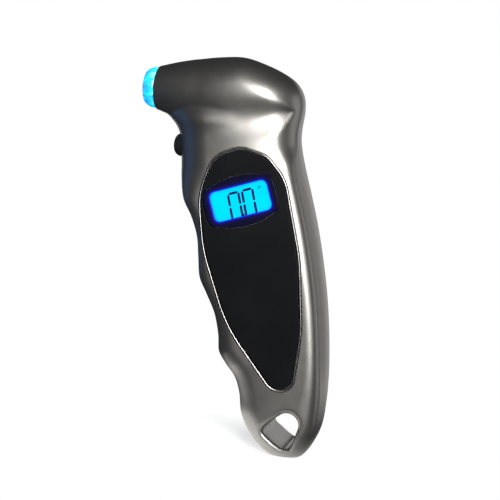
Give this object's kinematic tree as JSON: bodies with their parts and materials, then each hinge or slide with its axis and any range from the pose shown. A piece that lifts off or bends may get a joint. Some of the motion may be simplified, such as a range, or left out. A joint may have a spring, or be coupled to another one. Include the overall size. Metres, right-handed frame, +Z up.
{
  "type": "digital tyre pressure gauge",
  "caption": "Hand-held digital tyre pressure gauge: angled nozzle with a lit clear nose, lit display in a dark panel, side button, finger grooves and a lanyard hole.",
  "frame": {"origin": "below the tip of the tail, at the middle of the overall width and thickness, with the gauge held upright as it is read", "axes": "+Z up the gauge from tail to head, nozzle along -X, display faces -Y, flat back faces +Y"},
  "size_m": [0.0832, 0.0288, 0.1516],
  "materials": {
    "housing_paint": "satin metallic paint",
    "trim": "bright satin",
    "panel": "fine matte texture",
    "lens": "gloss",
    "mask": "gloss",
    "display": "lit from behind",
    "clear_nose": "clear, lit from within",
    "light_guide": "frosted",
    "button_black": "semi gloss",
    "rubber_black": "soft",
    "silicone": "translucent",
    "brass": "turned",
    "board_green": "solder mask",
    "black_plastic": "moulded",
    "white_plastic": "moulded",
    "steel": "plated",
    "wire_red": "insulation"
  },
  "bodies": {
    "housing": {"front_shell": "housing_paint", "rear_shell": "housing_paint", "panel_trim_ring": "trim", "front_panel": "panel", "window_lens": "lens", "window_mask": "mask", "lcd_cell": "display", "light_guide": "light_guide", "backlight_leds": "white_plastic", "lcd_holder": "white_plastic", "zebra_connector": "rubber_black", "main_board": "board_green", "controller_chip": "black_plastic", "board_screws": "steel", "tact_switch": "black_plastic", "nozzle_ring": "clear_nose", "nozzle_seal": "rubber_black", "valve_depressor": "brass", "air_chamber": "white_plastic", "chamber_o_ring": "rubber_black", "pressure_sensor": "white_plastic", "air_tube": "silicone", "nozzle_led": "clear_nose", "led_wires": "wire_red", "battery_tray": "black_plastic", "coin_cell": "steel", "coin_contacts": "steel", "light_cells": "steel", "cell_contacts": "steel", "housing_screws": "steel"},
    "button": {"button_cap": "button_black", "switch_plunger": "black_plastic"},
    "battery_door": {"battery_door": "housing_paint", "door_screw": "steel"}
  },
  "joints": [
    {"name": "button_press", "type": "slide", "parent": "housing", "child": "button", "axis": [1, 0, 0], "range_m": [0, 0.0005], "stiffness_N_per_m": 1500, "springref_m": -0.0005},
    {"name": "battery_door_off", "type": "slide", "parent": "housing", "child": "battery_door", "axis": [0, 1, 0], "range_m": [0, 0.02]}
  ]
}
